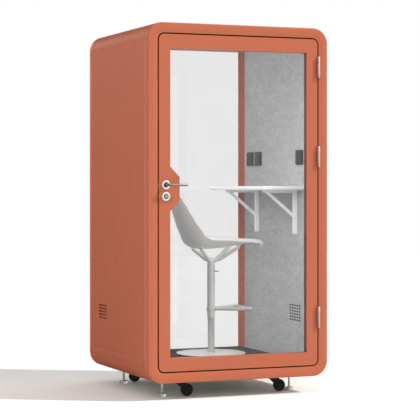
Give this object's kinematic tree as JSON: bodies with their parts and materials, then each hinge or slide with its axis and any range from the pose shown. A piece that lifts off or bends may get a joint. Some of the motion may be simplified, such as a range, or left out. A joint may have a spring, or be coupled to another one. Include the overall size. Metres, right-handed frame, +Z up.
{
  "type": "acoustic office pod",
  "caption": "Free-standing phone-booth pod: rounded terracotta shell, glazed hinged door with lever lock, glass back, felt walls, bar desk with swivel stool, on levelling feet and casters.",
  "frame": {"origin": "on the ground, under the middle of the whole outline, the outside lever included", "axes": "+Z up; +Y from the door to the rear pane; +X to the right for someone who faces the door"},
  "size_m": [1.21, 1.186, 2.3],
  "materials": {
    "terracotta_sheet": "satin",
    "terracotta_profile": "satin",
    "glass": "gloss",
    "seal_rubber": "matte",
    "wall_wool": "matte",
    "wall_felt": "matte",
    "lamp": "satin",
    "floor_board": "matte",
    "carpet": "matte",
    "dark_steel": "satin",
    "desk_board": "satin",
    "white_metal": "satin",
    "grey_plate": "matte",
    "black_plastic": "matte",
    "satin_steel": "satin",
    "bright_chrome": "polished",
    "stool_metal": "satin",
    "stool_shell": "satin"
  },
  "bodies": {
    "pod": {"roof_cover": "terracotta_sheet", "base_tray": "terracotta_sheet", "left_side_skin": "terracotta_sheet", "right_side_skin": "terracotta_sheet", "front_frame": "terracotta_profile", "rear_frame": "terracotta_profile", "rear_glass": "glass", "door_seal": "seal_rubber", "strike_plate": "satin_steel", "left_core": "wall_wool", "right_core": "wall_wool", "left_felt_panel": "wall_felt", "right_felt_panel": "wall_felt", "ceiling_panel": "wall_felt", "ceiling_light": "lamp", "floor_deck": "floor_board", "carpet": "carpet", "chassis": "dark_steel", "desk_top": "desk_board", "desk_bracket_front": "white_metal", "desk_bracket_rear": "white_metal", "socket_front": "grey_plate", "socket_middle": "grey_plate", "socket_rear": "grey_plate", "fan_housing": "black_plastic", "hinge_frame_leaf_1": "satin_steel", "hinge_frame_leaf_2": "satin_steel", "hinge_frame_leaf_3": "satin_steel", "stool_base": "stool_metal"},
    "door": {"door_frame": "terracotta_profile", "door_glass": "glass", "lock_case": "satin_steel", "lever_rose": "satin_steel", "cylinder_rose": "satin_steel", "lock_backplate": "satin_steel", "hinge_door_leaf_1": "satin_steel", "hinge_door_leaf_2": "satin_steel", "hinge_door_leaf_3": "satin_steel"},
    "lever": {"lever_front": "satin_steel", "lever_back": "satin_steel"},
    "latch": {"latch_bolt": "satin_steel"},
    "thumb_turn": {"thumb_turn": "satin_steel"},
    "bolt": {"dead_bolt": "satin_steel"},
    "fan_rotor": {"fan_rotor": "black_plastic"},
    "stool_column": {"stool_column": "stool_metal"},
    "stool_seat": {"stool_seat_frame": "stool_metal", "stool_seat_shell": "stool_shell"},
    "stool_handle": {"stool_height_handle": "black_plastic"},
    "fork_front_left": {"caster_fork_front_left": "black_plastic"},
    "wheel_front_left": {"caster_wheel_front_left": "black_plastic"},
    "foot_front_left": {"levelling_foot_front_left": "bright_chrome"},
    "fork_front_right": {"caster_fork_front_right": "black_plastic"},
    "wheel_front_right": {"caster_wheel_front_right": "black_plastic"},
    "foot_front_right": {"levelling_foot_front_right": "bright_chrome"},
    "fork_rear_left": {"caster_fork_rear_left": "black_plastic"},
    "wheel_rear_left": {"caster_wheel_rear_left": "black_plastic"},
    "foot_rear_left": {"levelling_foot_rear_left": "bright_chrome"},
    "fork_rear_right": {"caster_fork_rear_right": "black_plastic"},
    "wheel_rear_right": {"caster_wheel_rear_right": "black_plastic"},
    "foot_rear_right": {"levelling_foot_rear_right": "bright_chrome"}
  },
  "joints": [
    {"name": "door_swing", "type": "hinge", "parent": "pod", "child": "door", "pos_m": [0.538, -0.5463, 1.2], "axis": [0, 0, 1], "range_deg": [0, 170]},
    {"name": "lever_turn", "type": "hinge", "parent": "door", "child": "lever", "pos_m": [-0.489, -0.515, 1.311], "axis": [0, 1, 0], "range_deg": [0, 45], "stiffness_Nm_per_rad": 1.5, "springref_deg": -22.92},
    {"name": "latch_slide", "type": "slide", "parent": "door", "child": "latch", "axis": [1, 0, 0], "range_m": [0, 0.0101]},
    {"name": "thumb_turn", "type": "hinge", "parent": "door", "child": "thumb_turn", "pos_m": [-0.489, -0.493, 1.241], "axis": [0, 1, 0], "range_deg": [0, 90]},
    {"name": "bolt_slide", "type": "slide", "parent": "door", "child": "bolt", "axis": [-1, 0, 0], "range_m": [0, 0.0201]},
    {"name": "fan_spin", "type": "hinge", "parent": "pod", "child": "fan_rotor", "pos_m": [0.552, -0.256, 0.486], "axis": [1, 0, 0], "continuous": true},
    {"name": "stool_height", "type": "slide", "parent": "pod", "child": "stool_column", "axis": [0, 0, 1], "range_m": [-0.2, 0]},
    {"name": "stool_swivel", "type": "hinge", "parent": "stool_column", "child": "stool_seat", "pos_m": [0.109, 0.193, 0.8], "axis": [0, 0, 1], "range_deg": [-105, 155]},
    {"name": "stool_handle_lift", "type": "hinge", "parent": "stool_column", "child": "stool_handle", "pos_m": [0.121, 0.17222, 0.741], "axis": [-0.866, -0.5, 0], "range_deg": [0, 12], "stiffness_Nm_per_rad": 0.05, "springref_deg": -11.46},
    {"name": "swivel_front_left", "type": "hinge", "parent": "pod", "child": "fork_front_left", "pos_m": [-0.315, -0.362, 0.095], "axis": [0, 0, 1], "continuous": true},
    {"name": "roll_front_left", "type": "hinge", "parent": "fork_front_left", "child": "wheel_front_left", "pos_m": [-0.28728, -0.37348, 0.04], "axis": [0.3827, 0.9239, 0], "continuous": true},
    {"name": "swivel_front_right", "type": "hinge", "parent": "pod", "child": "fork_front_right", "pos_m": [0.315, -0.362, 0.095], "axis": [0, 0, 1], "continuous": true},
    {"name": "roll_front_right", "type": "hinge", "parent": "fork_front_right", "child": "wheel_front_right", "pos_m": [0.34272, -0.37348, 0.04], "axis": [0.3827, 0.9239, 0], "continuous": true},
    {"name": "swivel_rear_left", "type": "hinge", "parent": "pod", "child": "fork_rear_left", "pos_m": [-0.315, 0.418, 0.095], "axis": [0, 0, 1], "continuous": true},
    {"name": "roll_rear_left", "type": "hinge", "parent": "fork_rear_left", "child": "wheel_rear_left", "pos_m": [-0.34272, 0.42948, 0.04], "axis": [-0.3827, -0.9239, 0], "continuous": true},
    {"name": "swivel_rear_right", "type": "hinge", "parent": "pod", "child": "fork_rear_right", "pos_m": [0.315, 0.418, 0.095], "axis": [0, 0, 1], "continuous": true},
    {"name": "roll_rear_right", "type": "hinge", "parent": "fork_rear_right", "child": "wheel_rear_right", "pos_m": [0.28728, 0.42948, 0.04], "axis": [-0.3827, -0.9239, 0], "continuous": true},
    {"name": "levelling_front_left", "type": "slide", "parent": "pod", "child": "foot_front_left", "axis": [0, 0, 1], "range_m": [-0.02, 0.008]},
    {"name": "levelling_front_right", "type": "slide", "parent": "pod", "child": "foot_front_right", "axis": [0, 0, 1], "range_m": [-0.02, 0.008]},
    {"name": "levelling_rear_left", "type": "slide", "parent": "pod", "child": "foot_rear_left", "axis": [0, 0, 1], "range_m": [-0.02, 0.008]},
    {"name": "levelling_rear_right", "type": "slide", "parent": "pod", "child": "foot_rear_right", "axis": [0, 0, 1], "range_m": [-0.02, 0.008]}
  ],
  "couplings": [
    {"joint": "latch_slide", "follows": "lever_turn", "m_per_rad": 0.012732},
    {"joint": "bolt_slide", "follows": "thumb_turn", "m_per_rad": 0.012732}
  ]
}
